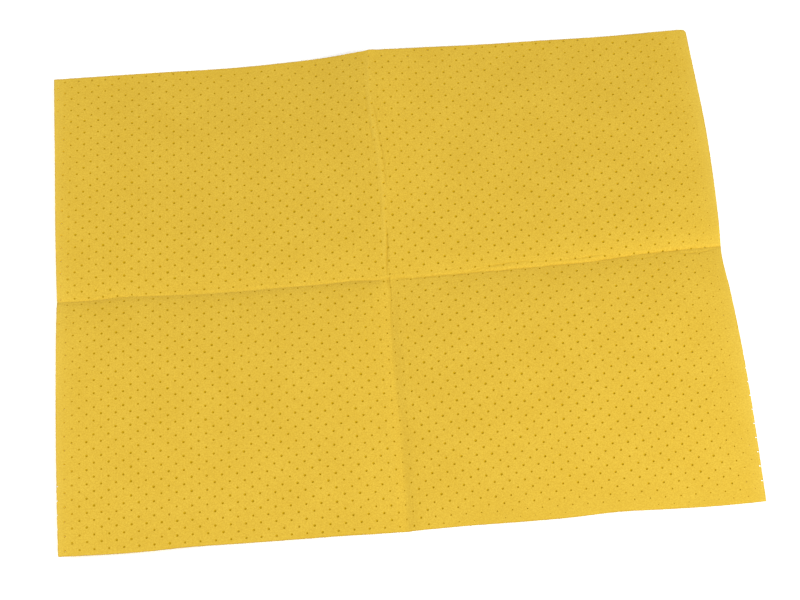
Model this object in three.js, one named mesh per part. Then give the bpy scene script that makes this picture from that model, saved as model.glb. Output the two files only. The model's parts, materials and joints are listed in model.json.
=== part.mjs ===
// Synthetic chamois cloth: one coated, perforated sheet that lies open on a table after storage in a pack.
// Two pressed creases, made by folding it twice, divide it into four quarters that turn on each other.
// Each quarter is a bonded stack of three layers: a bottom coat, a fibre core and a top coat.
// Millimetres, +Z up, +X to the right, +Y to the back, origin on the table under the middle of the outline.

import * as THREE from 'three';

// Cut outline: distances from the two creases to the corners and edges
const leftAtBack = 251.5;
const leftAtFront = 240.5;
const rightAtBack = 250;
const rightAtFront = 254;
const depthBack = 200;
const depthFront = 200;

// Bonded layers
const coatThickness = 0.15;
const coreThickness = 0.7;

// Slit between neighbouring quarters, where the pressed crease lies
const creaseSlit = 0.4;

// First crease, a valley from side to side: how far the panels rise out of it, and over what distance
const frontRise = 6;
const frontRiseReach = 14;
const backRise = 2.7;
const backRiseReach = 25;

// Second crease, front arm: a valley whose panels rise sideways, less and less towards the front edge
const valleyReach = 40;
const frontEdgeDrop = 2.9;

// Second crease, back arm: a ridge that grows from the middle of the sheet to the back edge
const ridgeHeight = 11.5;
const ridgeReach = 40;
const ridgeGrowth = 1.6;

// Side edges curl up from the table
const leftEdgeLift = 3.4;
const rightEdgeLift = 2.5;
const rightEdgeTwist = 1.4;
const edgeLiftPower = 2.5;

// The lowest places are pressed flat on the table by this much, and blend out of it over this much
const settleDepth = 1.2;
const settleBlend = 0.7;

// Room left between two layers that lie on each other when the sheet is folded
const foldClearance = 0.6;

// Panel mesh: strips across and along a quarter, finest beside the creases
const stripsAcross = 10;
const stripsAlong = 9;
const stripGrading = 1.7;
const stackSamples = 80;

const sheetThickness = 2 * coatThickness + coreThickness;
const leftReach = Math.max(leftAtBack, leftAtFront);
const rightReach = Math.max(rightAtBack, rightAtFront);

// The creases cross here, seen from the middle of the outline
const crossX = (leftReach - rightReach) / 2;
const crossY = (depthFront - depthBack) / 2;

const coatMaterial = new THREE.MeshStandardMaterial({ color: 0xe6c03e, roughness: 0.85, metalness: 0 });
const coreMaterial = new THREE.MeshStandardMaterial({ color: 0xead27a, roughness: 0.95, metalness: 0 });

// Share of a full rise that is reached at a distance from a crease
function riseShare(distance, reach) {
  return 1 - Math.exp(-distance / reach);
}

// Panels on the front side of the first crease
function frontPanels(fromSecond, toFront) {
  const rise = frontRise * riseShare(toFront, frontRiseReach) - frontEdgeDrop * toFront / depthFront;
  return rise * riseShare(fromSecond, valleyReach);
}

// Panels on the back side of the first crease, with the ridge between them
function backPanels(fromSecond, toBack) {
  const growth = Math.sin(Math.PI / 2 * Math.min(toBack / depthBack, 1)) ** ridgeGrowth;
  const ridge = ridgeHeight * growth * Math.exp(-fromSecond / ridgeReach);
  return backRise * riseShare(toBack, backRiseReach) + ridge;
}

// Curl of the two side edges
function edgeCurl(x, y) {
  if (x < 0) {
    return leftEdgeLift * (-x / leftReach) ** edgeLiftPower;
  }
  const lift = rightEdgeLift - rightEdgeTwist * y / (y < 0 ? depthFront : depthBack);
  return lift * (x / rightReach) ** edgeLiftPower;
}

// Keeps the sheet on the table: nothing below zero, with a soft start to the rise
function settled(height) {
  const above = height - settleDepth;
  if (above >= settleBlend) {
    return above;
  }
  if (above <= -settleBlend) {
    return 0;
  }
  return (above + settleBlend) ** 2 / (4 * settleBlend);
}

// Height of the sheet's underside, with x and y measured from where the creases cross
function underside(x, y) {
  const fromSecond = Math.abs(x);
  const panels = y < 0 ? frontPanels(fromSecond, -y) : backPanels(fromSecond, y);
  return settled(panels + edgeCurl(x, y));
}

function topside(x, y) {
  return underside(x, y) + sheetThickness;
}

// Distance from the second crease to the side edge, at a distance from the first crease
function sideReach(quarter, fromFirst) {
  const front = quarter.side < 0 ? leftAtFront : rightAtFront;
  const back = quarter.side < 0 ? leftAtBack : rightAtBack;
  const y = quarter.end * fromFirst;
  return THREE.MathUtils.mapLinear(y, -depthFront, depthBack, front, back);
}

function endReach(quarter) {
  return quarter.end < 0 ? depthFront : depthBack;
}

// Distances from a crease of the lines that bound the strips, closest together beside the crease
function stripLine(index, count, reach) {
  const start = creaseSlit / 2;
  return start + (reach - start) * (index / count) ** stripGrading;
}

// Greatest value of a stack of layers over the panel that both of its fold partners cover
function tallestStack(stackHeight, across, along) {
  let tallest = 0;
  for (let i = 0; i <= stackSamples; i += 1) {
    for (let k = 0; k <= stackSamples; k += 1) {
      const a = across * i / stackSamples;
      const b = along * k / stackSamples;
      tallest = Math.max(tallest, stackHeight(a, b));
    }
  }
  return tallest;
}

// Axis height of the first fold: the back panels lie face down on the front panels
function firstFoldHeight() {
  const shared = Math.max(depthFront, depthBack);
  const onLeft = tallestStack((a, b) => topside(-a, b) + topside(-a, -b), leftReach, shared);
  const onRight = tallestStack((a, b) => topside(a, b) + topside(a, -b), rightReach, shared);
  return (Math.max(onLeft, onRight) + foldClearance) / 2;
}

// Axis height of the second fold: the right half lies on the left half, with the first fold open or closed
function secondFoldHeight(firstHeight) {
  const shared = Math.max(leftReach, rightReach);
  const front = tallestStack((a, b) => topside(-a, -b) + topside(a, -b), shared, depthFront);
  const back = tallestStack((a, b) => topside(-a, b) + topside(a, b), shared, depthBack);
  const closed = tallestStack((a, b) => 4 * firstHeight - underside(-a, b) - underside(a, b), shared, depthBack);
  return (Math.max(front, back, closed) + foldClearance) / 2;
}

// Closed mesh of one layer of a quarter, between two heights in the stack, measured from the given pivot
function layerGeometry(quarter, low, high, pivot) {
  const positions = [];
  const triangles = [];
  const rowLength = stripsAlong + 1;
  const levelSize = (stripsAcross + 1) * rowLength;

  for (const level of [low, high]) {
    for (let i = 0; i <= stripsAcross; i += 1) {
      for (let k = 0; k <= stripsAlong; k += 1) {
        const fromFirst = stripLine(k, stripsAlong, endReach(quarter));
        const fromSecond = stripLine(i, stripsAcross, sideReach(quarter, fromFirst));
        const x = quarter.side * fromSecond;
        const y = quarter.end * fromFirst;
        const z = underside(x, y) + level;
        positions.push(crossX + x - pivot.x, crossY + y - pivot.y, z - pivot.z);
      }
    }
  }

  // Mirrored quarters turn their triangles round, so that every face points out
  const mirrored = quarter.side * quarter.end < 0;
  function triangle(a, b, c) {
    triangles.push(...(mirrored ? [a, c, b] : [a, b, c]));
  }
  function quad(a, b, c, d) {
    triangle(a, b, c);
    triangle(a, c, d);
  }
  function vertex(i, k, level) {
    return level * levelSize + i * rowLength + k;
  }

  for (let i = 0; i < stripsAcross; i += 1) {
    for (let k = 0; k < stripsAlong; k += 1) {
      quad(vertex(i, k, 1), vertex(i + 1, k, 1), vertex(i + 1, k + 1, 1), vertex(i, k + 1, 1));
      triangle(vertex(i, k, 0), vertex(i + 1, k + 1, 0), vertex(i + 1, k, 0));
      triangle(vertex(i, k, 0), vertex(i, k + 1, 0), vertex(i + 1, k + 1, 0));
    }
  }
  for (let i = 0; i < stripsAcross; i += 1) {
    quad(vertex(i, 0, 0), vertex(i + 1, 0, 0), vertex(i + 1, 0, 1), vertex(i, 0, 1));
    const last = stripsAlong;
    quad(vertex(i + 1, last, 0), vertex(i, last, 0), vertex(i, last, 1), vertex(i + 1, last, 1));
  }
  for (let k = 0; k < stripsAlong; k += 1) {
    quad(vertex(0, k + 1, 0), vertex(0, k, 0), vertex(0, k, 1), vertex(0, k + 1, 1));
    const last = stripsAcross;
    quad(vertex(last, k, 0), vertex(last, k + 1, 0), vertex(last, k + 1, 1), vertex(last, k, 1));
  }

  const geometry = new THREE.BufferGeometry();
  geometry.setAttribute('position', new THREE.Float32BufferAttribute(positions, 3));
  geometry.setIndex(triangles);
  geometry.computeVertexNormals();
  return geometry;
}

// One quarter as a group of its three layers, placed at its fold pivot inside the quarter that carries it
function quarterGroup(quarter, pivot, carrier) {
  const group = new THREE.Group();
  const layers = [
    { name: 'bottom_coat', low: 0, high: coatThickness, material: coatMaterial },
    { name: 'fibre_core', low: coatThickness, high: coatThickness + coreThickness, material: coreMaterial },
    { name: 'top_coat', low: coatThickness + coreThickness, high: sheetThickness, material: coatMaterial },
  ];
  for (const layer of layers) {
    const mesh = new THREE.Mesh(layerGeometry(quarter, layer.low, layer.high, pivot), layer.material);
    mesh.name = `${quarter.name}_${layer.name}`;
    group.add(mesh);
  }
  group.position.copy(pivot).sub(carrier.pivot);
  carrier.group.add(group);
  return { group, pivot };
}

const firstHeight = firstFoldHeight();
const secondHeight = secondFoldHeight(firstHeight);
const firstPivot = new THREE.Vector3(crossX, crossY, firstHeight);
const secondPivot = new THREE.Vector3(crossX, crossY, secondHeight);
const tablePivot = new THREE.Vector3(0, 0, 0);

// The front left quarter lies on the table and carries the rest through the folds
const cloth = { group: new THREE.Group(), pivot: tablePivot };
const frontLeft = quarterGroup({ name: 'front_left', side: -1, end: -1 }, tablePivot, cloth);
const frontRight = quarterGroup({ name: 'front_right', side: 1, end: -1 }, secondPivot, frontLeft);
quarterGroup({ name: 'back_left', side: -1, end: 1 }, firstPivot, frontLeft);
quarterGroup({ name: 'back_right', side: 1, end: 1 }, firstPivot, frontRight);

export default cloth.group;
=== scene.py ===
"""Looks of a synthetic chamois cloth: a perforated yellow sheet with two creases, lying open on a table.

The sheet is made flat first, as a grid of cells with a round hole in every other one, and is cut to its
outline. It then takes its relief, its thickness and its pressed creases, and is divided into pieces that fold
with the quarters. Flat places on the sheet are in millimetres from where the creases cross: a to the right, b
to the back.
"""

import json
import math

import bmesh
import bpy
import numpy as np
from mathutils import Matrix, Vector


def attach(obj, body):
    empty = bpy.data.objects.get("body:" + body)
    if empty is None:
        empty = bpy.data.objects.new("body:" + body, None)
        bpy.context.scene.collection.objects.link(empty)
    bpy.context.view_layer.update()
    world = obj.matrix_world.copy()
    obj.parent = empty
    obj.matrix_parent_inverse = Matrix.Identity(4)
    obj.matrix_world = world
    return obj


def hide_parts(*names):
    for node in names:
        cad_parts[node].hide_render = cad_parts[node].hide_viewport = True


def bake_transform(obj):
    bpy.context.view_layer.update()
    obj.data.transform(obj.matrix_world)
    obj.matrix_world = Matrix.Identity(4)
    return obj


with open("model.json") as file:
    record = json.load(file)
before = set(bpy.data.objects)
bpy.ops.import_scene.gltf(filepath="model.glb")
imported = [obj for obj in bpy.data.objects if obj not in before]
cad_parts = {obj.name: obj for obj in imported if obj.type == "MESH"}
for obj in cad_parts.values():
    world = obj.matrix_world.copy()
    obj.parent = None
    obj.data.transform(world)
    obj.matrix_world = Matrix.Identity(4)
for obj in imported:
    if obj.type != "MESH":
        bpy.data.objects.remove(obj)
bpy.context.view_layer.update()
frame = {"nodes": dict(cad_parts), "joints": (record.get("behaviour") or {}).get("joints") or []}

MM = 0.001
SEED = 11

# Perforations: a hole in every other cell of a lattice whose lines run along the creases
CELL_A = 5.35
CELL_B = 5.39
HOLE_RADIUS = 0.922
HOLE_SPREAD = 0.07
HOLE_SPREAD_LIMIT = 2
HOLE_JITTER = 0.12
LEAST_RADIUS = 0.3

# A hole narrows to a waist inside the sheet: the waist's height as a share of the thickness, its radius as a
# share of the rim's, and the share of its inset that the underside gets
WAIST_HEIGHT = 0.3
WAIST_RADIUS = 0.15
HOLE_FLARE = 0.1

# How the size of the holes changes from the front to the back: (place, share)
HOLE_SIZE = ((-200, 1.01), (-150, 1.01), (-95, 1.05), (-40, 1.03), (45, 1.08), (110, 1.0), (150, 0.97),
             (200, 0.93))

# Holes close up beside the right cut, the right half of the front cut and a stretch of the left cut.
# The reach of the right one changes along the cut: (place, reach)
RIGHT_FADE_REACH = ((-200, 13.0), (-60, 15.0), (15, 14.0), (60, 8.0), (200, 5.0))
FRONT_FADE_REACH = 9.0
FRONT_FADE_START = 60.0
LEFT_FADE = 0.55
LEFT_FADE_REACH = 14.0
LEFT_FADE_PLACE = -75.0
LEFT_FADE_LENGTH = 60.0

# Where a cut goes through holes they are closed, or are straight notches in the front part of the two sides
CUT_REACH = 1.7
NOTCH_SHARE = 0.7
NOTCH_WAIST = 1.0
LEFT_NOTCHES = -140.0
RIGHT_NOTCHES = -6.0

# Holes are partly pressed shut in the first crease and in the front arm of the second
FIRST_CLOSING = 0.27
ARM_CLOSING = 0.32
CLOSING_REACH = 6.3

# How far the punched lattice wanders to the right, and what the front edge adds: (place to the right, offset)
LATTICE_DRIFT = ((-250, 0.0), (-190, 0.0), (-130, 1.1), (-70, 1.5), (-12, 2.1), (20, 0.4), (70, 0.7),
                 (130, 0.3), (190, 1.6), (250, 0.4))
FRONT_DRIFT = ((-250, 3.0), (-190, 1.3), (-130, 0.3), (-70, -0.3), (20, 0.2), (130, -0.5), (190, -1.5),
               (250, -2.7))

# Grid steps in a cell, and in the cells beside a crease; a hole leaves one part in four of them on each side
STEPS = 4
FINE_STEPS = 12
FINE_COLUMNS = (-1, 0, 1)
FINE_ROWS = (-2, -1, 0)
MARGIN_PARTS = 4
GRID_SPARE = 3

# Layers of the sheet
COAT = 0.15
CORE = 0.7
THICKNESS = 2 * COAT + CORE

# How the four cut edges bow away from straight lines: (place along the edge, outward)
LEFT_BOW = ((-200, -0.2), (-170, 0.3), (-60, 0.4), (0, 0.0), (60, 0.5), (130, 0.7), (200, 1.0))
RIGHT_BOW = ((-200, -0.8), (-95, 0.8), (-35, -0.7), (-6, -2.0), (4, -1.4), (30, 0.1), (90, 2.1), (200, -0.2))
BACK_BOW = ((-250, 0.3), (-180, -0.4), (-125, -1.9), (-70, -2.8), (-40, -3.3), (0, -2.9), (50, -0.3),
            (95, -0.6), (135, -0.6), (180, -1.9), (250, -1.7))
FRONT_BOW = ((-240, 0.6), (-180, 1.2), (-145, 0.2), (-110, 0.3), (-75, 0.4), (-40, 0.5), (-22, 0.8),
             (12, 0.3), (47, 0.0), (85, 0.6), (117, 0.5), (152, -0.7), (187, 0.4), (222, 1.4), (252, 1.3))
RAGGED_SIZE = 0.08
RAGGED_LENGTH = 11

# Corners and rims of the cut, the distances at which its points count as one, and the angle of a sharp edge
CORNER_RADIUS = 0.7
BACK_RIGHT_RADIUS = 3.4
CORNER_CUTS = 4
CUT_DIP = 0.15
# Painted shade along the cut edges, as dark as a pressed line this deep
CUT_SHADE = 0.34
CUT_TOLERANCE = 0.01
MERGE_DISTANCE = 0.04
SHARP_ANGLE = 30

# Where the pressed creases run, beside the lattice lines that they follow: (place along the crease, offset)
FIRST_CREASE = ((-250, 0.9), (-219, 0.5), (-196, 1.4), (-168, 0.2), (-145, -0.8), (-108, -1.3), (-75, -0.9),
                (-40, -0.8), (-24, -0.2), (-5, -1.2), (35, -1.4), (125, -1.1), (155, -0.7), (185, 1.4),
                (205, 2.2), (220, 2.4), (255, 2.4))
SECOND_CREASE = ((-200, 4.3), (-140, 4.1), (-55, 1.9), (-28, 2.4), (-11, 3.7), (4, 2.7), (45, 4.4), (95, 3.9),
                 (145, -0.5), (200, 0.4))

# First crease, a valley from side to side
FRONT_RISE = 6.0
FRONT_RISE_REACH = 40
FRONT_EDGE_DROP = 4.5
BACK_RISE = 1.4
BACK_RISE_REACH = 30

# The sheet turns up sharply right beside the first crease, unevenly: (place along the crease, height)
FRONT_LIP = ((-250, 0.5), (-25, 0.5), (25, 1.0), (255, 0.9))
FRONT_LIP_REACH = 7.0
BACK_LIP = ((-250, 2.2), (-150, 1.4), (0, 1.9), (90, 2.7), (170, 4.0), (255, 4.3))
BACK_LIP_REACH = 11.0
BACK_LIP_LENGTH = 90.0

# Beside the front arm it lies higher on the left and lower on the right, in bands that widen to the front
LEAN_LEFT = 1.1
LEAN_RIGHT = -0.25
LEAN_WIDTH = 10.0
LEAN_SPREAD = 26.0
LEAN_LENGTH = 80.0
LEAN_START = 3.0

# Second crease: a valley in front, and at the back a ridge that grows towards the edge
VALLEY_REACH = 47
RIDGE_HEIGHT = 10.5
RIDGE_REACH = 40
RIDGE_GROWTH = 1.6
RIDGE_ROUNDING = 16.0
RIDGE_TIP = 1.2
RIDGE_TIP_WIDTH = 3.6
RIDGE_TIP_LENGTH = 7.0
CREST_HEIGHT = 0.2
CREST_WIDTH = 1.8
CREST_OFFSET = -2.0

# Side edges curl up from the table
LEFT_LIFT = 2.6
RIGHT_LIFT = 2.6
RIGHT_LIFT_TWIST = 2.4
LIFT_POWER = 2.5

# The lowest places lie on the table, and the sheet blends out of it over this height
SETTLE_BLEND = 0.1

# Gentle waves of the whole sheet: (wave length, heading in degrees, height)
WAVES = ((118, 20, 0.16), (83, 75, 0.12), (61, 140, 0.08), (44, 105, 0.05))

# An uneven wander along a crease or a cut, as a sum of waves: (weight, rate, phase)
WOBBLE = ((0.5, 1.0, 0.0), (0.3, 2.3, 1.1), (0.2, 4.7, 2.3))

# Fine pressed lines in the creases: their size, their wander and how their strength varies along them
# (mean, swing, length)
LINE_DEPTH = 0.19
LINE_WIDTH = 0.62
LINE_WOBBLE = 0.35
LINE_WOBBLE_LENGTH = 31
MAIN_LINE = (0.8, 0.2, 41)
PARTING_LINE = (0.6, 0.4, 67)

# Where the second fine line of each crease parts from the main one: (place along the crease, offset)
FIRST_PARTING = ((-250, -1.2), (-224, -3.2), (-209, -1.8), (-192, -2.9), (-164, 0.0), (-142, 0.0),
                 (-132, -2.9), (-108, 0.0), (-87, 0.0), (-60, -2.7), (-30, -3.0), (-7, 0.0), (60, 0.0),
                 (80, 3.9), (140, 3.1), (164, 3.4), (176, 0.0), (195, -3.8), (210, 0.0), (225, -3.8),
                 (255, 0.0))
SECOND_PARTING = ((-200, 1.5), (-120, 2.5), (-60, 0.0), (-40, 1.2), (-14, -1.3), (0, -1.2))

# How strong the lines are: along the first crease (place, share), and to the front in the second
FIRST_STRENGTH = ((-250, 0.5), (-30, 0.5), (30, 1.7), (150, 1.7), (255, 1.7))
SECOND_LINE_LEAST = 0.1
SECOND_LINE_MOST = 2.8
SECOND_LINE_FADE = 30

# The second crease flattens the first where it crosses it, and is pinched right behind the cross
CROSSING_WIDTH = 5.0
CROSSING_SHARE = 0.85
PINCH_DEPTH = 0.42
PINCH_WIDTH = 0.85
PINCH_MIDDLE = 24
PINCH_LENGTH = 21
PINCH_BEND = -1.0

# A low bead behind the first crease, whose height varies (mean, swing, length)
BEAD_HEIGHT = 0.17
BEAD_WIDTH = 1.0
BEAD_OFFSET = 2.6
BEAD_WOBBLE_LENGTH = 53
BEAD_SWELL = (0.7, 0.3, 37)

# Fine lines beside the crest of the ridge: (from, to, offset)
RIDGE_LINES = ((70, 150, 1.3), (108, 165, -4.4), (45, 75, -4.4))
RIDGE_LINE_DEPTH = 0.24
RIDGE_LINE_END = 14.0

# Painted light on the coat: a painted highlight over the ridge's crest, and painted light along the two side
# cuts, where light from the table comes under the raised edges
CREST_HIGHLIGHT = 0.35
CREST_HIGHLIGHT_WIDTH = 2.2
EDGE_LIGHT = 0.8
EDGE_LIGHT_REACH = 5.0

# Half widths of the strips in the creases, and of the band in the first one that bends
FIRST_STRIP = 2 * CELL_B
SECOND_STRIP = 3 * CELL_A

# Levels of a shell's points, from the underside to the top and then the waist of the holes, and its materials
BOTTOM, CORE_BOTTOM, CORE_TOP, TOP, WAIST = range(5)
COAT_SLOT, CORE_SLOT, WALL_SLOT = range(3)

# Coat: colours, sizes of its patterns and how strongly they show
COAT_DEEP = (0.840, 0.557, 0.039)
COAT_LIGHT = (0.890, 0.607, 0.052)
COAT_GRAIN = (0.63, 0.38, 0.020)
COAT_FIBRE = (0.88, 0.63, 0.085)
# Colour of the painted highlight on the crest and of the painted light beside the side cuts
COAT_PAINTED_LIGHT = (0.95, 0.70, 0.12)
# Colour of the painted shade in the pressed lines and along the cuts
COAT_SHADE = (0.62, 0.375, 0.012)
CLOUD_SIZE = 26
GRAIN_SIZE = 1.06
GRAIN_SHARE = (0.13, 0.87)
GRAIN_ROUGHNESS = (0.78, 0.92)
FIBRE_SIZE = (3.2, 0.28)
FIBRE_RANGE = (0.55, 0.8)
FIBRE_SHARE = 0.35
FIBRE_BUMP = 0.6
# Largest share of the painted light
PAINTED_LIGHT_SHARE = 0.3
# How the painted shade grows with the depth of the pressed lines, and its largest share
SHADE_RANGE = (0.01, 0.34)
SHADE_SHARE = 0.7

# Fibre core, seen in the cut edges
CORE_DEEP = (0.54, 0.345, 0.032)
CORE_LIGHT = (0.70, 0.49, 0.10)
CORE_FIBRE_SIZE = (1.6, 0.16)
CORE_FIBRE_RANGE = (0.45, 0.8)

# Walls of the holes: painted shade, a gold far darker than the coat, that stands for the shade inside them
WALL_SHADE_DEEP = (0.470, 0.280, 0.005)
WALL_SHADE_LIGHT = (0.68, 0.438, 0.010)
# Painted light in the holes beside the side cuts
WALL_PAINTED_LIGHT = (0.80, 0.52, 0.045)
WALL_GRAIN_SIZE = 0.3
WALL_PAINTED_LIGHT_RANGE = (0.0, 0.5)
WALL_PAINTED_LIGHT_SHARE = 0.9

# The middle part of a noise's values, and the headings of the fibres in degrees
NOISE_RANGE = (0.3, 0.7)
FIBRE_HEADINGS = (15, 75, 135)

# Camera, in metres and degrees
LENS = 83.79
CAMERA_AIM = Vector((8.85, -18.8, 0)) * MM
CAMERA_DISTANCE = 1.3809
CAMERA_HEADING = -3.08
CAMERA_ELEVATION = 62.94
CAMERA_ROLL = -7.43

# Table and light, in metres and watts
TABLE_SIZE = 2.0
TABLE_GAP = 0.05 * MM
TABLE_LIT = (0.82, 0.82, 0.82)
TABLE_SEEN = (1.6, 1.6, 1.6)
WORLD_LIT = 0.311
WORLD_SEEN = 1.0
LAMP_SIZE = 0.8
KEY_PLACE = (1.17, -0.73, 0.9)
KEY_POWER = 22.2
FILL_PLACE = (-1.09, -0.11, 0.9)
FILL_POWER = 9.1


def joint_place(name):
    return Vector(next(joint["pos_m"] for joint in frame["joints"] if joint["name"] == name))


CROSS = joint_place("first_fold") / MM


def cad_corner(quarter, end):
    """Outer corner of a quarter's solid, in millimetres from the cross, at its front (-1) or back (1) end."""
    points = np.array([vertex.co for vertex in frame["nodes"][quarter + "_top_coat"].data.vertices]) / MM
    outward = points[:, 1] * end
    outer = points[outward > outward.max() - CUT_TOLERANCE]
    corner = outer[np.argmax(np.abs(outer[:, 0] - CROSS.x))]
    return float(corner[0] - CROSS.x), float(corner[1] - CROSS.y)


BACK_LEFT = cad_corner("back_left", 1)
BACK_RIGHT = cad_corner("back_right", 1)
FRONT_LEFT = cad_corner("front_left", -1)
FRONT_RIGHT = cad_corner("front_right", -1)
LEFT_REACH = max(-BACK_LEFT[0], -FRONT_LEFT[0])
RIGHT_REACH = max(BACK_RIGHT[0], FRONT_RIGHT[0])
DEPTH = BACK_LEFT[1]


# Curves

def through(points, at):
    """A smooth curve through a few points, read at many places."""
    xs, ys = np.array(points, float).T
    slopes = np.gradient(ys, xs)
    first = np.clip(np.searchsorted(xs, at) - 1, 0, len(xs) - 2)
    width = xs[first + 1] - xs[first]
    t = np.clip((at - xs[first]) / width, 0, 1)
    rise = ys[first + 1] - ys[first]
    start = slopes[first] * width
    end = slopes[first + 1] * width
    return ys[first] + t * (start + t * (3 * rise - 2 * start - end + t * (start + end - 2 * rise)))


def curve_at(points, place):
    """The same curve, read at one place."""
    return float(through(points, np.array([place]))[0])


def rise_share(distance, reach):
    return 1 - np.exp(-np.maximum(distance, 0) / reach)


def nearness(distance, reach):
    return np.exp(-np.maximum(distance, 0) / reach)


def bell(distance, width):
    return np.exp(-(distance / width) ** 2)


def eased(share):
    share = np.clip(share, 0, 1)
    return share * share * (3 - 2 * share)


def wobble(place, length):
    """An uneven wander between -1 and 1."""
    turn = 2 * math.pi * place / length
    return sum(weight * np.sin(rate * turn + phase) for weight, rate, phase in WOBBLE)


def uneven(place, mean, swing, length):
    """A strength that rises and falls along a crease."""
    return mean + swing * wobble(place, length)


# Relief of the sheet

def crossing(across):
    """How much the first crease is flattened where the second one crosses it."""
    return bell(across, CROSSING_WIDTH)


def lean(across, along):
    """Height of the sheet over the front arm of the second crease, in the bands beside it."""
    width = LEAN_WIDTH + LEAN_SPREAD * np.clip(-along / LEAN_LENGTH, 0, 1)
    height = np.where(across < 0, LEAN_LEFT, LEAN_RIGHT)
    return height * eased(np.abs(across) / width) * rise_share(-along, LEAN_START)


def front_panels(a, across, along):
    rise = FRONT_RISE * rise_share(-along, FRONT_RISE_REACH) + FRONT_EDGE_DROP * along / DEPTH
    turn_up = through(FRONT_LIP, a) * rise_share(-along, FRONT_LIP_REACH) * (1 - crossing(across))
    return rise * rise_share(np.abs(across), VALLEY_REACH) + turn_up + lean(across, along)


def back_panels(a, across, along):
    share = np.clip(along / DEPTH, 0, 1)
    growth = np.sin(math.pi / 2 * share) ** RIDGE_GROWTH
    rounding = RIDGE_ROUNDING * share
    from_crest = np.hypot(across, rounding) - rounding
    ridge = RIDGE_HEIGHT * growth * np.exp(-from_crest / RIDGE_REACH)
    tip = RIDGE_TIP * bell(across, RIDGE_TIP_WIDTH) * np.exp(-(1 - share) * DEPTH / RIDGE_TIP_LENGTH)
    hump = rise_share(along, BACK_LIP_REACH) * nearness(along, BACK_LIP_LENGTH)
    turn_up = through(BACK_LIP, a) * hump
    return BACK_RISE * rise_share(along, BACK_RISE_REACH) + turn_up + ridge + tip


def edge_curl(a, b):
    left = LEFT_LIFT * (np.maximum(-a, 0) / LEFT_REACH) ** LIFT_POWER
    lift = RIGHT_LIFT - RIGHT_LIFT_TWIST * b / DEPTH
    return left + lift * (np.maximum(a, 0) / RIGHT_REACH) ** LIFT_POWER


def waves(a, b):
    height = np.zeros_like(a)
    for number, (length, heading, size) in enumerate(WAVES):
        angle = math.radians(heading)
        run = a * math.cos(angle) + b * math.sin(angle)
        height += size * np.sin(2 * math.pi * run / length + number)
    return height


def settled(height):
    """Nothing below the table, with a soft start to the rise."""
    soft = np.clip(height + SETTLE_BLEND, 0, 2 * SETTLE_BLEND) ** 2 / (4 * SETTLE_BLEND)
    return np.where(height >= SETTLE_BLEND, height, soft)


def from_creases(a, b):
    """Distances from the second crease, across it, and from the first."""
    return a - through(SECOND_CREASE, b), b - through(FIRST_CREASE, a)


def underside(a, b):
    across, along = from_creases(a, b)
    panels = np.where(along < 0, front_panels(a, across, along), back_panels(a, across, along))
    away = rise_share(np.abs(along), BACK_RISE_REACH) * rise_share(np.abs(across), BACK_RISE_REACH)
    return settled(panels + edge_curl(a, b) + waves(a, b) * away)


# Fine lines pressed into the sheet

def pressed_lines(distance, place, parting):
    """Depth of a crease's two fine lines, at a distance from it and a place along it; the second parts."""
    distance = distance - LINE_WOBBLE * wobble(place, LINE_WOBBLE_LENGTH)
    main = bell(distance, LINE_WIDTH) * uneven(place, *MAIN_LINE)
    second = bell(distance - through(parting, place), LINE_WIDTH) * uneven(place, *PARTING_LINE)
    return np.maximum(main, second)


def ridge_lines(across, b):
    """Depth of the fine lines beside the crest of the ridge."""
    depth = np.zeros_like(b)
    wander = LINE_WOBBLE * wobble(b, LINE_WOBBLE_LENGTH)
    for low, high, offset in RIDGE_LINES:
        share = eased((b - low) / RIDGE_LINE_END) * eased((high - b) / RIDGE_LINE_END)
        depth += RIDGE_LINE_DEPTH * share * bell(across - offset - wander, LINE_WIDTH)
    return depth


def pressed(a, b):
    """How deep the creases are pressed into the sheet; the ridge's crest and the bead stand up instead."""
    across, along = from_creases(a, b)
    first = pressed_lines(along, a, FIRST_PARTING) * through(FIRST_STRENGTH, a)
    first *= 1 - CROSSING_SHARE * crossing(across)
    fading = np.exp(np.minimum(b, 0) / SECOND_LINE_FADE)
    strength = SECOND_LINE_LEAST + (SECOND_LINE_MOST - SECOND_LINE_LEAST) * fading
    second = pressed_lines(across, b, SECOND_PARTING) * strength * (b < 0)
    along_pinch = (b - PINCH_MIDDLE) / PINCH_LENGTH
    pinch = bell(across - PINCH_BEND * along_pinch ** 2, PINCH_WIDTH) * np.exp(-along_pinch ** 4)
    crest = bell(across - CREST_OFFSET, CREST_WIDTH) * eased(along_pinch)
    from_bead = along - BEAD_OFFSET - wobble(a, BEAD_WOBBLE_LENGTH)
    bead = bell(from_bead, BEAD_WIDTH) * uneven(a, *BEAD_SWELL)
    lines = LINE_DEPTH * np.maximum(first, second) + ridge_lines(across, b)
    return lines + PINCH_DEPTH * pinch - CREST_HEIGHT * crest - BEAD_HEIGHT * bead


# Distances from the cuts, and what depends on them

def edge_normal(start, end):
    """Outward direction of a side edge from one corner to the next, counter-clockwise."""
    run = Vector(end) - Vector(start)
    return Vector((run.y, -run.x)).normalized()


def inside_line(corner, next_corner, a, b):
    """Distance inside the straight line between two corners of the outline, counter-clockwise."""
    outward = edge_normal(corner, next_corner)
    return outward.x * (corner[0] - a) + outward.y * (corner[1] - b)


def pressed_shut(a, b):
    """Share of a hole's radius that the creases have closed."""
    first = FIRST_CLOSING * bell(b - curve_at(FIRST_CREASE, a), CLOSING_REACH)
    arm = ARM_CLOSING * bell(a - curve_at(SECOND_CREASE, b), CLOSING_REACH) * (b < 0)
    return max(first, arm)


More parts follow.
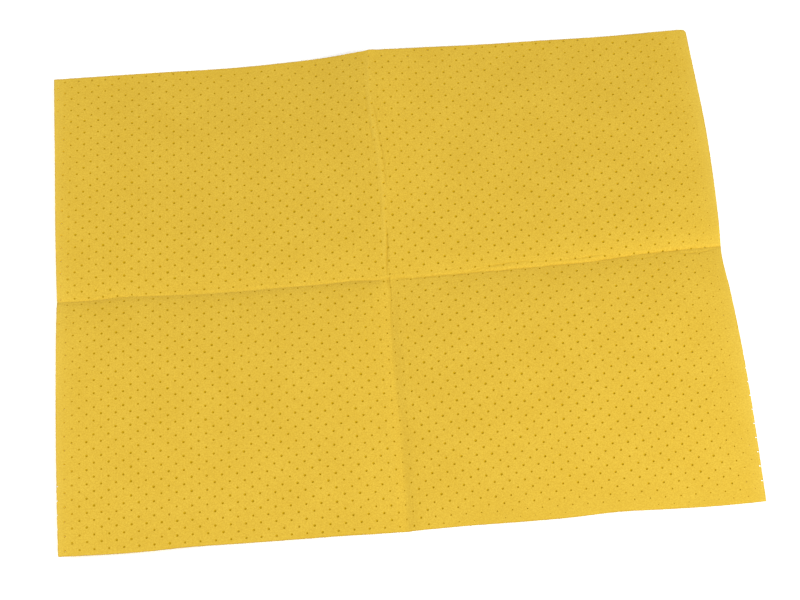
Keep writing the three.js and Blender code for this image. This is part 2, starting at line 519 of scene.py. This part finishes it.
def hole_form(a, b):
    """Share of its radius that a hole at this place keeps at its rim, and the waist's share of the rim."""
    right = inside_line(FRONT_RIGHT, BACK_RIGHT, a, b)
    front = inside_line(FRONT_LEFT, FRONT_RIGHT, a, b) + curve_at(FRONT_BOW, a)
    left = inside_line(BACK_LEFT, FRONT_LEFT, a, b)
    back = inside_line(BACK_RIGHT, BACK_LEFT, a, b) + curve_at(BACK_BOW, a)
    if min(abs(back), abs(front)) < CUT_REACH:
        return 0.0, WAIST_RADIUS
    if min(left, right) < CUT_REACH:
        notched = b < (LEFT_NOTCHES if a < 0 else RIGHT_NOTCHES)
        return NOTCH_SHARE * notched, NOTCH_WAIST
    beside_right = nearness(right, curve_at(RIGHT_FADE_REACH, b))
    beside_front = nearness(front, FRONT_FADE_REACH) * eased(a / FRONT_FADE_START)
    beside_left = LEFT_FADE * nearness(left, LEFT_FADE_REACH) * bell(b - LEFT_FADE_PLACE, LEFT_FADE_LENGTH)
    closed = max(beside_right, beside_front, beside_left, pressed_shut(a, b))
    return curve_at(HOLE_SIZE, b) * (1 - closed), WAIST_RADIUS


def painted_light_at(a, b):
    """How much painted light the coat gets, from nothing to fully: a painted highlight on the crest and
    painted light beside the side cuts.
    """
    across = a - through(SECOND_CREASE, b)
    # Painted highlight along the ridge's crest
    crest = CREST_HIGHLIGHT * bell(across - CREST_OFFSET, CREST_HIGHLIGHT_WIDTH) * eased(b / PINCH_MIDDLE)
    right = inside_line(FRONT_RIGHT, BACK_RIGHT, a, b)
    left = inside_line(BACK_LEFT, FRONT_LEFT, a, b)
    # Painted light beside the side cuts
    return crest + EDGE_LIGHT * nearness(np.minimum(right, left), EDGE_LIGHT_REACH)


# Flat sheet: cells, holes and outline

def cell_lines(low, high, size, fine):
    """Grid lines over the cells from low to high, and the first line of each cell."""
    lines = []
    starts = []
    for cell in range(low, high):
        steps = FINE_STEPS if cell in fine else STEPS
        starts.append(len(lines))
        lines += [(cell + step / steps) * size for step in range(steps)]
    starts.append(len(lines))
    lines.append(high * size)
    return np.array(lines), starts


def opening(lines):
    """First and last grid line of a hole's opening, from the lines where its cell starts and ends."""
    margin = (lines[1] - lines[0]) // MARGIN_PARTS
    return lines[0] + margin, lines[1] - margin


def punch(places, inset, kept, columns, rows, radius, waist, jitter):
    """Takes the middle out of one cell, rounds the opening and notes how far the hole's waist is drawn in."""
    low_a, high_a = opening(columns)
    low_b, high_b = opening(rows)
    kept[low_a:high_a, low_b:high_b] = False
    block = places[low_a:high_a + 1, low_b:high_b + 1]
    centre = (block[0, 0] + block[-1, -1]) / 2
    offset = block - centre
    length = np.maximum(np.linalg.norm(offset, axis=-1, keepdims=True), 1e-6)
    spoke = offset * radius / length
    block[:] = centre + jitter + spoke
    inset[low_a:high_a + 1, low_b:high_b + 1] = (waist - 1) * spoke


def drift(a, b):
    """How far the punched lattice has wandered to the right."""
    front = np.clip(-b / DEPTH, 0, 1)
    return through(LATTICE_DRIFT, a) + through(FRONT_DRIFT, a) * front ** 2


def drift_at(a, b):
    return float(drift(np.array([a]), np.array([b]))[0])


def cells_to(reach, size):
    """Number of cells that cover a reach from the cross, with some to spare."""
    return math.ceil((reach + GRID_SPARE) / size)


def perforated_grid():
    """Places on an even lattice, quads, and how far each place on a hole's rim is drawn in at its waist."""
    random = np.random.default_rng(SEED)
    low_a, high_a = -cells_to(LEFT_REACH, CELL_A), cells_to(RIGHT_REACH, CELL_A)
    low_b, high_b = -cells_to(DEPTH, CELL_B), cells_to(DEPTH, CELL_B)
    lines_a, starts_a = cell_lines(low_a, high_a, CELL_A, FINE_COLUMNS)
    lines_b, starts_b = cell_lines(low_b, high_b, CELL_B, FINE_ROWS)
    places = np.stack(np.meshgrid(lines_a, lines_b, indexing="ij"), -1)
    kept = np.ones((len(lines_a) - 1, len(lines_b) - 1), bool)
    inset = np.zeros_like(places)

    for i in range(high_a - low_a):
        for j in range(high_b - low_b):
            if (i + low_a + j + low_b) % 2:
                continue
            centre_a, centre_b = (low_a + i + 0.5) * CELL_A, (low_b + j + 0.5) * CELL_B
            spread = 1 + HOLE_SPREAD * np.clip(random.normal(), -HOLE_SPREAD_LIMIT, HOLE_SPREAD_LIMIT)
            rim, waist = hole_form(centre_a + drift_at(centre_a, centre_b), centre_b)
            radius = HOLE_RADIUS * spread * rim
            jitter = random.uniform(-HOLE_JITTER, HOLE_JITTER, 2)
            if radius < LEAST_RADIUS:
                continue
            punch(places, inset, kept, starts_a[i:i + 2], starts_b[j:j + 2], radius, waist, jitter)

    index = np.arange(len(lines_a) * len(lines_b)).reshape(len(lines_a), len(lines_b))
    corners = (index[:-1, :-1], index[1:, :-1], index[1:, 1:], index[:-1, 1:])
    quads = np.stack(corners, -1)[kept]
    used, quads = np.unique(quads, return_inverse=True)
    return places.reshape(-1, 2)[used], quads.reshape(-1, 4), inset.reshape(-1, 2)[used]


def bow_out(cloth, axis, bow, sign):
    """Moves the sheet along one axis by a bowed curve, so that a straight cut comes out bowed."""
    along = np.array([vertex.co[1 - axis] for vertex in cloth.verts])
    outward = through(bow, along) + RAGGED_SIZE * wobble(along, RAGGED_LENGTH)
    for vertex, shift in zip(cloth.verts, sign * outward):
        vertex.co[axis] += shift


def cut_off(cloth, point, outward, marks):
    """Cuts away what lies beyond a straight line on the flat sheet, and marks the points of the cut."""
    everything = cloth.verts[:] + cloth.edges[:] + cloth.faces[:]
    result = bmesh.ops.bisect_plane(
        cloth, geom=everything, dist=CUT_TOLERANCE, plane_co=(*point, 0), plane_no=(*outward, 0),
        clear_outer=True)
    for item in result["geom_cut"]:
        if isinstance(item, bmesh.types.BMVert):
            item[marks] = 1


def round_corner(cloth, corner, radius, marks):
    """Cuts a corner of the bowed sheet to a few tangents of its small arc."""
    side, end = math.copysign(1, corner[0]), math.copysign(1, corner[1])
    side_bow = RIGHT_BOW if side > 0 else LEFT_BOW
    end_bow = BACK_BOW if end > 0 else FRONT_BOW
    tip_a = corner[0] + side * curve_at(side_bow, corner[1])
    tip_b = corner[1] + end * curve_at(end_bow, corner[0])
    centre = Vector((tip_a - side * radius, tip_b - end * radius))
    for number in range(1, CORNER_CUTS + 1):
        angle = math.pi / 2 * number / (CORNER_CUTS + 1)
        outward = Vector((side * math.cos(angle), end * math.sin(angle)))
        cut_off(cloth, centre + outward * radius, outward, marks)


def flat_mesh():
    """The perforated sheet before it is cut, with its lattice and the holes' insets."""
    lattice, quads, inset = perforated_grid()
    a, b = lattice.T
    mesh = bpy.data.meshes.new("flat_sheet")
    mesh.from_pydata(np.column_stack([a + drift(a, b), b, np.zeros_like(a)]).tolist(), [], quads.tolist())
    for name, places in (("lattice", lattice), ("inset", inset)):
        vectors = np.column_stack([places, np.zeros(len(places))])
        mesh.attributes.new(name, "FLOAT_VECTOR", "POINT").data.foreach_set("vector", vectors.ravel())
    return mesh


def cut_sheet():
    """The flat sheet cut to its outline, with a flag on the points of the cuts."""
    mesh = flat_mesh()
    cloth = bmesh.new()
    cloth.from_mesh(mesh)
    marks = cloth.verts.layers.int.new("cut")

    edges = (
        (FRONT_LEFT, FRONT_RIGHT, 1, FRONT_BOW, 1),
        (FRONT_RIGHT, BACK_RIGHT, 0, RIGHT_BOW, -1),
        (BACK_RIGHT, BACK_LEFT, 1, BACK_BOW, -1),
        (BACK_LEFT, FRONT_LEFT, 0, LEFT_BOW, 1),
    )
    for start, end, axis, bow, sign in edges:
        bow_out(cloth, axis, bow, sign)
        cut_off(cloth, start, edge_normal(start, end), marks)
        bow_out(cloth, axis, bow, -sign)
    for corner in (FRONT_LEFT, FRONT_RIGHT, BACK_LEFT):
        round_corner(cloth, corner, CORNER_RADIUS, marks)
    round_corner(cloth, BACK_RIGHT, BACK_RIGHT_RADIUS, marks)

    on_cut = [vertex for vertex in cloth.verts if vertex[marks]]
    bmesh.ops.remove_doubles(cloth, verts=on_cut, dist=MERGE_DISTANCE)
    cloth.to_mesh(mesh)
    cloth.free()
    return mesh


def read_ints(collection, name, count):
    values = np.zeros(count, np.int32)
    collection.foreach_get(name, values)
    return values


def read_places(collection, name, count):
    values = np.zeros(count * 3)
    collection.foreach_get(name, values)
    return values.reshape(-1, 3)[:, :2]


class FlatSheet:
    """The cut sheet as arrays: places, polygons, their middles on the lattice, heights and flags."""

    def __init__(self, mesh):
        count = len(mesh.vertices)
        self.a, self.b = read_places(mesh.vertices, "co", count).T
        self.corners = read_ints(mesh.loops, "vertex_index", len(mesh.loops))
        self.starts = read_ints(mesh.polygons, "loop_start", len(mesh.polygons))
        self.sizes = read_ints(mesh.polygons, "loop_total", len(mesh.polygons))
        self.inset = read_places(mesh.attributes["inset"].data, "vector", count)
        self.rim = np.any(self.inset != 0, axis=1)
        self.cut = read_ints(mesh.attributes["cut"].data, "value", count) > 0
        lattice = read_places(mesh.attributes["lattice"].data, "vector", count)
        corner_sums = np.add.reduceat(lattice[self.corners], self.starts)
        self.middle_a, self.middle_b = (corner_sums / self.sizes[:, None]).T
        depth = pressed(self.a, self.b)
        # Painted light: a painted highlight on the crest and painted light beside the side cuts
        self.painted_light = painted_light_at(self.a, self.b)
        # Painted shade in the coat: the depth of the pressed lines, and a fixed amount along the cuts
        self.painted_shade = np.maximum(depth, CUT_SHADE * self.cut)
        low = underside(self.a, self.b) - depth
        dip = CUT_DIP * self.cut
        self.bottom = np.maximum(low, 0) + dip
        self.top = low + THICKNESS - dip


# Pieces: closed shells cut out of the sheet

def shell_points(sheet, used):
    """Points of a shell, level by level, and their flat places with the level's number as the third value."""
    place = np.column_stack([sheet.a[used], sheet.b[used]])
    bottom, top = sheet.bottom[used], sheet.top[used]
    coat = COAT / THICKNESS
    shares = {BOTTOM: 0, CORE_BOTTOM: coat, CORE_TOP: 1 - coat, TOP: 1, WAIST: WAIST_HEIGHT}
    drawn_in = {BOTTOM: HOLE_FLARE, WAIST: 1}
    points = []
    flat = []
    for level, share in shares.items():
        moved = place + drawn_in.get(level, 0) * sheet.inset[used]
        points.append(np.column_stack([moved, bottom + share * (top - bottom)]))
        flat.append(np.column_stack([place, np.full(len(used), float(level))]))
    return np.concatenate(points), np.concatenate(flat)


def wall_bands(sheet, ends):
    """Bands of the wall under one open edge: (upper level, lower level, material)."""
    if sheet.cut[ends].all():
        core = (CORE_TOP, CORE_BOTTOM, CORE_SLOT)
        return (TOP, CORE_TOP, COAT_SLOT), core, (CORE_BOTTOM, BOTTOM, COAT_SLOT)
    if sheet.rim[ends].all():
        return (TOP, WAIST, WALL_SLOT), (WAIST, BOTTOM, WALL_SLOT)
    return ((TOP, BOTTOM, CORE_SLOT),)


def shell_polygons(sheet, used, corners, sizes):
    """Polygons of a shell, with their materials: top, underside and walls along every open edge."""
    starts = np.concatenate([[0], np.cumsum(sizes)[:-1]])
    faces = [corners[start:start + size] for start, size in zip(starts, sizes)]
    count = len(used)
    following = np.concatenate([np.roll(face, -1) for face in faces])
    forward = corners * count + following
    backward = following * count + corners
    is_open = ~np.isin(forward, backward)

    polygons = [face + TOP * count for face in faces]
    polygons += [face[::-1] for face in faces]
    paint = [COAT_SLOT] * (2 * len(faces))
    for start, end in zip(corners[is_open], following[is_open]):
        for high, low, slot in wall_bands(sheet, used[[start, end]]):
            high_row, low_row = high * count, low * count
            polygons.append([start + high_row, start + low_row, end + low_row, end + high_row])
            paint.append(slot)
    return [list(map(int, polygon)) for polygon in polygons], paint


def drop_loose_points(mesh):
    """Leaves out the level points that no wall uses."""
    cleaned = bmesh.new()
    cleaned.from_mesh(mesh)
    loose = [vertex for vertex in cleaned.verts if not vertex.link_faces]
    bmesh.ops.delete(cleaned, geom=loose, context="VERTS")
    cleaned.to_mesh(mesh)
    cleaned.free()


def shell(name, sheet, chosen, materials):
    """A closed shell over the chosen polygons of the sheet, as an object."""
    picked = np.repeat(chosen, sheet.sizes)
    used, corners = np.unique(sheet.corners[picked], return_inverse=True)
    points, flat = shell_points(sheet, used)
    polygons, paint = shell_polygons(sheet, used, corners, sheet.sizes[chosen])

    mesh = bpy.data.meshes.new(name)
    world = (points + np.array([CROSS.x, CROSS.y, 0])) * MM
    mesh.from_pydata(world.tolist(), [], polygons)
    sheet_place = mesh.attributes.new("sheet_place", "FLOAT_VECTOR", "POINT")
    sheet_place.data.foreach_set("vector", (flat * MM).ravel())
    # Painted shade and painted light, carried to the materials as attributes
    for label, values in (("painted_shade", sheet.painted_shade), ("painted_light", sheet.painted_light)):
        everywhere = np.tile(values[used], len(points) // len(used))
        mesh.attributes.new(label, "FLOAT", "POINT").data.foreach_set("value", everywhere)
    for material in materials:
        mesh.materials.append(material)
    mesh.polygons.foreach_set("material_index", paint)
    mesh.polygons.foreach_set("use_smooth", [True] * len(polygons))
    drop_loose_points(mesh)
    mesh.set_sharp_from_angle(angle=math.radians(SHARP_ANGLE))
    piece = bpy.data.objects.new(name, mesh)
    bpy.context.scene.collection.objects.link(piece)
    return piece


# Shader nodes

def new_material(name):
    material = bpy.data.materials.new(name)
    material.use_nodes = True
    tree = material.node_tree
    place = tree.nodes.new("ShaderNodeAttribute")
    place.attribute_name = "sheet_place"
    return material, tree, tree.nodes["Principled BSDF"], place.outputs["Vector"]


def attribute(tree, name):
    node = tree.nodes.new("ShaderNodeAttribute")
    node.attribute_name = name
    return node.outputs["Fac"]


def noise(tree, place, size, detail=3.0, roughness=0.5):
    """Noise with features of a size in millimetres."""
    node = tree.nodes.new("ShaderNodeTexNoise")
    node.inputs["Scale"].default_value = 1 / (size * MM)
    node.inputs["Detail"].default_value = detail
    node.inputs["Roughness"].default_value = roughness
    tree.links.new(place, node.inputs["Vector"])
    return node.outputs["Fac"]


def stretched(tree, place, heading, length, width):
    """Noise drawn out into fibres along a heading, with a length and a width in millimetres."""
    node = tree.nodes.new("ShaderNodeMapping")
    node.vector_type = "TEXTURE"
    node.inputs["Rotation"].default_value = (0, 0, math.radians(heading))
    node.inputs["Scale"].default_value = (length / width, 1, 1)
    tree.links.new(place, node.inputs["Vector"])
    return noise(tree, node.outputs["Vector"], width, detail=2.0)


def ranged(tree, value, low, high, to_low=0.0, to_high=1.0):
    node = tree.nodes.new("ShaderNodeMapRange")
    for socket, number in zip(("From Min", "From Max", "To Min", "To Max"), (low, high, to_low, to_high)):
        node.inputs[socket].default_value = number
    tree.links.new(value, node.inputs["Value"])
    return node.outputs["Result"]


def combined(tree, operation, first, second):
    node = tree.nodes.new("ShaderNodeMath")
    node.operation = operation
    for socket, value in zip(node.inputs, (first, second)):
        if isinstance(value, (int, float)):
            socket.default_value = value
        else:
            tree.links.new(value, socket)
    return node.outputs["Value"]


def mixed(tree, share, first, second):
    """Two colours mixed by a share, each given as a value or from another node."""
    node = tree.nodes.new("ShaderNodeMix")
    node.data_type = "RGBA"
    tree.links.new(share, node.inputs[0])
    for socket, value in zip((node.inputs[6], node.inputs[7]), (first, second)):
        if isinstance(value, tuple):
            socket.default_value = (*value, 1)
        else:
            tree.links.new(value, socket)
    return node.outputs[2]


def bumped(tree, shader, height, strength, distance):
    node = tree.nodes.new("ShaderNodeBump")
    node.inputs["Strength"].default_value = strength
    node.inputs["Distance"].default_value = distance * MM
    tree.links.new(height, node.inputs["Height"])
    tree.links.new(node.outputs["Normal"], shader.inputs["Normal"])


def fibre_mat(tree, place, length, width):
    """Fibres that lie in several directions over each other."""
    mat = stretched(tree, place, FIBRE_HEADINGS[0], length, width)
    for heading in FIBRE_HEADINGS[1:]:
        mat = combined(tree, "MAXIMUM", mat, stretched(tree, place, heading, length, width))
    return mat


def set_values(shader, values):
    for socket, value in values.items():
        shader.inputs[socket].default_value = value


def seen_directly(tree):
    """1 for rays that show something to the camera, also by gloss or through glass, and 0 for the others."""
    path = tree.nodes.new("ShaderNodeLightPath")
    seen = combined(tree, "MAXIMUM", path.outputs["Is Camera Ray"], path.outputs["Is Glossy Ray"])
    return combined(tree, "MAXIMUM", seen, path.outputs["Is Transmission Ray"])


# Materials

def coat_material():
    """Matte latex coat: a clouded yellow with a fine suede grain, with painted shade in the pressed lines and
    along the cuts, and painted light on the crest and beside the side cuts.
    """
    material, tree, shader, place = new_material("latex_coat")
    cloud = ranged(tree, noise(tree, place, CLOUD_SIZE, detail=4.0), *NOISE_RANGE)
    grain = noise(tree, place, GRAIN_SIZE, detail=4.0, roughness=0.62)
    fibres = fibre_mat(tree, place, *FIBRE_SIZE)
    # Painted light on the crest and beside the side cuts
    painted_light = ranged(tree, attribute(tree, "painted_light"), 0.0, 1.0, 0.0, PAINTED_LIGHT_SHARE)
    # Painted shade in the pressed lines and along the cuts
    painted_shade = ranged(tree, attribute(tree, "painted_shade"), *SHADE_RANGE, 0.0, SHADE_SHARE)
    colour = mixed(tree, cloud, COAT_DEEP, COAT_LIGHT)
    colour = mixed(tree, ranged(tree, grain, *NOISE_RANGE, *GRAIN_SHARE), colour, COAT_GRAIN)
    colour = mixed(tree, ranged(tree, fibres, *FIBRE_RANGE, 0.0, FIBRE_SHARE), colour, COAT_FIBRE)
    colour = mixed(tree, painted_light, colour, COAT_PAINTED_LIGHT)
    colour = mixed(tree, painted_shade, colour, COAT_SHADE)
    tree.links.new(colour, shader.inputs["Base Color"])
    tree.links.new(ranged(tree, grain, *NOISE_RANGE, *GRAIN_ROUGHNESS), shader.inputs["Roughness"])
    set_values(shader, {
        "Specular IOR Level": 0.4,
        "Sheen Weight": 0.12,
        "Sheen Roughness": 0.5,
        "Sheen Tint": (1.0, 0.85, 0.45, 1),
    })
    height = combined(tree, "ADD", combined(tree, "MULTIPLY", fibres, FIBRE_BUMP), grain)
    bumped(tree, shader, height, strength=0.38, distance=0.12)
    return material


def core_material():
    """Fibre core, seen in the cut edges."""
    material, tree, shader, place = new_material("fibre_core")
    fibres = fibre_mat(tree, place, *CORE_FIBRE_SIZE)
    colour = mixed(tree, ranged(tree, fibres, *CORE_FIBRE_RANGE), CORE_DEEP, CORE_LIGHT)
    tree.links.new(colour, shader.inputs["Base Color"])
    set_values(shader, {"Roughness": 0.95, "Specular IOR Level": 0.1})
    bumped(tree, shader, fibres, strength=0.5, distance=0.15)
    return material


def hole_material():
    """Walls of the holes: painted shade, a deep gold that stands for the shade inside them, with painted
    light beside the side cuts.
    """
    material, tree, shader, place = new_material("hole_wall")
    fibres = noise(tree, place, WALL_GRAIN_SIZE)
    # Painted light in the holes beside the side cuts
    painted_light = ranged(tree, attribute(tree, "painted_light"), *WALL_PAINTED_LIGHT_RANGE, 0.0, WALL_PAINTED_LIGHT_SHARE)
    # Painted shade in the holes, in two tones mixed by a fine grain
    colour = mixed(tree, ranged(tree, fibres, *NOISE_RANGE), WALL_SHADE_DEEP, WALL_SHADE_LIGHT)
    colour = mixed(tree, painted_light, colour, WALL_PAINTED_LIGHT)
    tree.links.new(colour, shader.inputs["Base Color"])
    set_values(shader, {"Roughness": 0.9, "Specular IOR Level": 0.05})
    bumped(tree, shader, fibres, strength=0.4, distance=0.1)
    return material


def table_material():
    """Plain white table, which the camera sees brighter than it lights the cloth."""
    material = bpy.data.materials.new("white_table")
    material.use_nodes = True
    tree = material.node_tree
    tree.nodes.remove(tree.nodes["Principled BSDF"])
    matte = tree.nodes.new("ShaderNodeBsdfDiffuse")
    tree.links.new(mixed(tree, seen_directly(tree), TABLE_LIT, TABLE_SEEN), matte.inputs["Color"])
    tree.links.new(matte.outputs["BSDF"], tree.nodes["Material Output"].inputs["Surface"])
    return material


# Pieces of the cloth

def mean_reach(side):
    """Mean reach of the sheet to one side."""
    corners = (BACK_RIGHT, FRONT_RIGHT) if side > 0 else (BACK_LEFT, FRONT_LEFT)
    return sum(abs(corner[0]) for corner in corners) / 2


def quarter_sheet(sheet, quarter, side, end, materials):
    """The stiff part of one quarter, which rides on its body and stands for its three layers."""
    inner = SECOND_STRIP if end < 0 else 0
    chosen = (sheet.middle_a * side > inner) & (sheet.middle_b * end > FIRST_STRIP)
    piece = shell(quarter + "_sheet", sheet, chosen, materials)
    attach(piece, quarter)
    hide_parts(*(f"{quarter}_{layer}" for layer in ("bottom_coat", "fibre_core", "top_coat")))
    return piece, (mean_reach(side) - inner, DEPTH - FIRST_STRIP)


def first_strip(sheet, name, side, materials):
    """One half of the first crease, between the front and the back quarter."""
    chosen = (sheet.middle_a * side > 0) & (np.abs(sheet.middle_b) < FIRST_STRIP)
    piece = shell(name, sheet, chosen, materials)
    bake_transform(piece)
    return piece, (mean_reach(side), 2 * FIRST_STRIP)


def second_strip(sheet, materials):
    """The front arm of the second crease, between the two front quarters."""
    chosen = (np.abs(sheet.middle_a) < SECOND_STRIP) & (sheet.middle_b < -FIRST_STRIP)
    piece = shell("front_crease_strip", sheet, chosen, materials)
    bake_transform(piece)
    return piece, (2 * SECOND_STRIP, DEPTH - FIRST_STRIP)


def make_cloth():
    sheet = FlatSheet(cut_sheet())
    materials = (coat_material(), core_material(), hole_material())
    pieces = [
        quarter_sheet(sheet, "front_left", -1, -1, materials),
        quarter_sheet(sheet, "front_right", 1, -1, materials),
        quarter_sheet(sheet, "back_left", -1, 1, materials),
        quarter_sheet(sheet, "back_right", 1, 1, materials),
        first_strip(sheet, "left_crease_strip", -1, materials),
        first_strip(sheet, "right_crease_strip", 1, materials),
        second_strip(sheet, materials),
    ]


# Table, light and camera

def make_table():
    mesh = bpy.data.meshes.new("table")
    half = TABLE_SIZE / 2
    corners = [(-half, -half), (half, -half), (half, half), (-half, half)]
    mesh.from_pydata([(x, y, -TABLE_GAP) for x, y in corners], [], [(0, 1, 2, 3)])
    mesh.materials.append(table_material())
    table = bpy.data.objects.new("table", mesh)
    bpy.context.scene.collection.objects.link(table)


def make_world():
    """Even light from all round, white to the camera."""
    world = bpy.data.worlds.new("studio")
    world.use_nodes = True
    tree = world.node_tree
    light = tree.nodes["Background"]
    light.inputs["Color"].default_value = (1, 1, 1, 1)
    strength = ranged(tree, seen_directly(tree), 0, 1, WORLD_LIT, WORLD_SEEN)
    tree.links.new(strength, light.inputs["Strength"])
    bpy.context.scene.world = world


def make_lamp(name, place, power):
    """A round soft lamp that looks at the middle of the table."""
    lamp = bpy.data.lights.new(name, "AREA")
    lamp.shape = "DISK"
    lamp.size = LAMP_SIZE
    lamp.energy = power
    holder = bpy.data.objects.new(name, lamp)
    holder.location = place
    holder.rotation_euler = (-Vector(place)).to_track_quat("-Z", "Y").to_euler()
    bpy.context.scene.collection.objects.link(holder)


def make_camera():
    heading, elevation = math.radians(CAMERA_HEADING), math.radians(CAMERA_ELEVATION)
    level_x = math.sin(heading) * math.cos(elevation)
    level_y = math.cos(heading) * math.cos(elevation)
    look = Vector((level_x, level_y, -math.sin(elevation)))
    level = look.to_track_quat("-Z", "Y").to_matrix().to_4x4()
    roll = Matrix.Rotation(math.radians(CAMERA_ROLL), 4, "Z")
    camera = bpy.data.objects.new("camera", bpy.data.cameras.new("camera"))
    camera.data.lens = LENS
    camera.matrix_world = Matrix.Translation(CAMERA_AIM - look * CAMERA_DISTANCE) @ level @ roll
    bpy.context.scene.collection.objects.link(camera)
    bpy.context.scene.camera = camera


make_camera()
make_cloth()
make_table()
make_world()
make_lamp("key_light", KEY_PLACE, KEY_POWER)
make_lamp("fill_light", FILL_PLACE, FILL_POWER)
bpy.context.scene.view_settings.view_transform = "Standard"
